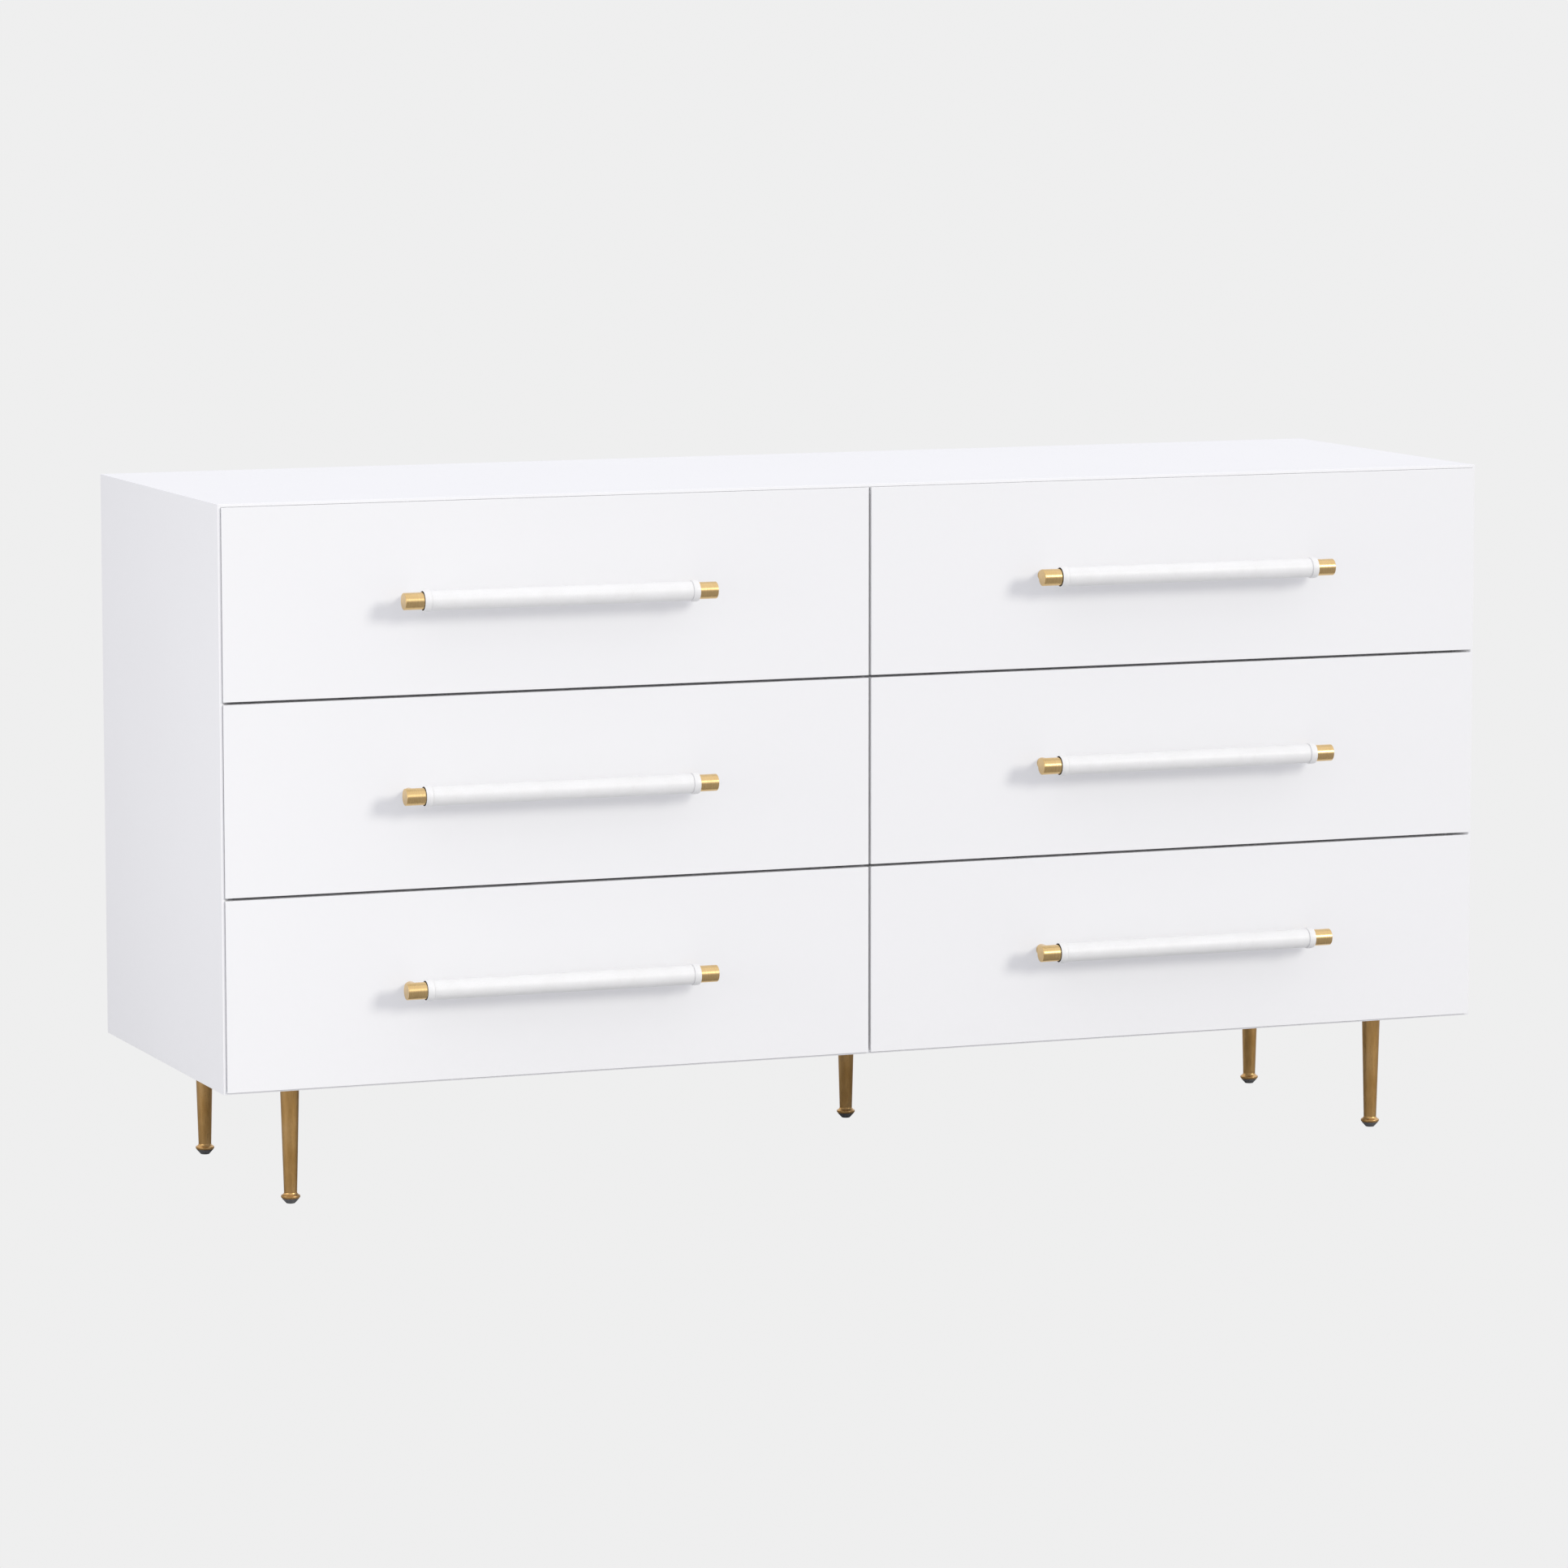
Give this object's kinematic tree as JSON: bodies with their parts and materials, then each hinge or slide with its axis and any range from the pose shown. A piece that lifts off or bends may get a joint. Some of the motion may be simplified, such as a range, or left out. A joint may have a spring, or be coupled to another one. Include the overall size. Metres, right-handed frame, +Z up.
{
  "type": "dresser with drawers",
  "caption": "Low white lacquered dresser with a plain box case, drawers in two columns, leather-wrapped brass bar handles and slim tapered brass legs.",
  "frame": {"origin": "on the floor, below the middle of the whole dresser with its handles", "axes": "+X to the right seen from the front, -Y out of the drawer fronts, +Z up"},
  "size_m": [1.524, 0.511, 0.7855],
  "materials": {
    "white_lacquer": "smooth white lacquer, semi-gloss, over fibreboard",
    "drawer_board": "clear-coated pale plywood",
    "satin_brass": "satin, lightly brushed",
    "antique_brass": "dark antique, satin",
    "white_leather": "fine-grained white",
    "grey_plastic": "matt dark grey",
    "steel": "zinc-plated drawer runners"
  },
  "bodies": {
    "case": {"case_left_side": "white_lacquer", "case_right_side": "white_lacquer", "case_top": "white_lacquer", "case_bottom": "white_lacquer", "case_back": "white_lacquer", "case_centre_divider": "white_lacquer", "case_upper_rail": "white_lacquer", "case_lower_rail": "white_lacquer", "leg_front_left": "antique_brass", "glide_front_left": "grey_plastic", "leg_front_right": "antique_brass", "glide_front_right": "grey_plastic", "leg_back_left": "antique_brass", "glide_back_left": "grey_plastic", "leg_back_right": "antique_brass", "glide_back_right": "grey_plastic", "leg_centre": "antique_brass", "glide_centre": "grey_plastic"},
    "drawer_top_left": {"drawer_top_left_front": "white_lacquer", "drawer_top_left_side_left": "drawer_board", "drawer_top_left_side_right": "drawer_board", "drawer_top_left_back": "drawer_board", "drawer_top_left_bottom": "drawer_board", "drawer_top_left_handle_bar": "satin_brass", "drawer_top_left_handle_wrap": "white_leather"},
    "drawer_top_right": {"drawer_top_right_front": "white_lacquer", "drawer_top_right_side_left": "drawer_board", "drawer_top_right_side_right": "drawer_board", "drawer_top_right_back": "drawer_board", "drawer_top_right_bottom": "drawer_board", "drawer_top_right_handle_bar": "satin_brass", "drawer_top_right_handle_wrap": "white_leather"},
    "drawer_middle_left": {"drawer_middle_left_front": "white_lacquer", "drawer_middle_left_side_left": "drawer_board", "drawer_middle_left_side_right": "drawer_board", "drawer_middle_left_back": "drawer_board", "drawer_middle_left_bottom": "drawer_board", "drawer_middle_left_handle_bar": "satin_brass", "drawer_middle_left_handle_wrap": "white_leather"},
    "drawer_middle_right": {"drawer_middle_right_front": "white_lacquer", "drawer_middle_right_side_left": "drawer_board", "drawer_middle_right_side_right": "drawer_board", "drawer_middle_right_back": "drawer_board", "drawer_middle_right_bottom": "drawer_board", "drawer_middle_right_handle_bar": "satin_brass", "drawer_middle_right_handle_wrap": "white_leather"},
    "drawer_bottom_left": {"drawer_bottom_left_front": "white_lacquer", "drawer_bottom_left_side_left": "drawer_board", "drawer_bottom_left_side_right": "drawer_board", "drawer_bottom_left_back": "drawer_board", "drawer_bottom_left_bottom": "drawer_board", "drawer_bottom_left_handle_bar": "satin_brass", "drawer_bottom_left_handle_wrap": "white_leather"},
    "drawer_bottom_right": {"drawer_bottom_right_front": "white_lacquer", "drawer_bottom_right_side_left": "drawer_board", "drawer_bottom_right_side_right": "drawer_board", "drawer_bottom_right_back": "drawer_board", "drawer_bottom_right_bottom": "drawer_board", "drawer_bottom_right_handle_bar": "satin_brass", "drawer_bottom_right_handle_wrap": "white_leather"}
  },
  "joints": [
    {"name": "drawer_top_left_slide", "type": "slide", "parent": "case", "child": "drawer_top_left", "axis": [0, -1, 0], "range_m": [0, 0.3]},
    {"name": "drawer_top_right_slide", "type": "slide", "parent": "case", "child": "drawer_top_right", "axis": [0, -1, 0], "range_m": [0, 0.3]},
    {"name": "drawer_middle_left_slide", "type": "slide", "parent": "case", "child": "drawer_middle_left", "axis": [0, -1, 0], "range_m": [0, 0.3]},
    {"name": "drawer_middle_right_slide", "type": "slide", "parent": "case", "child": "drawer_middle_right", "axis": [0, -1, 0], "range_m": [0, 0.3]},
    {"name": "drawer_bottom_left_slide", "type": "slide", "parent": "case", "child": "drawer_bottom_left", "axis": [0, -1, 0], "range_m": [0, 0.3]},
    {"name": "drawer_bottom_right_slide", "type": "slide", "parent": "case", "child": "drawer_bottom_right", "axis": [0, -1, 0], "range_m": [0, 0.3]}
  ]
}
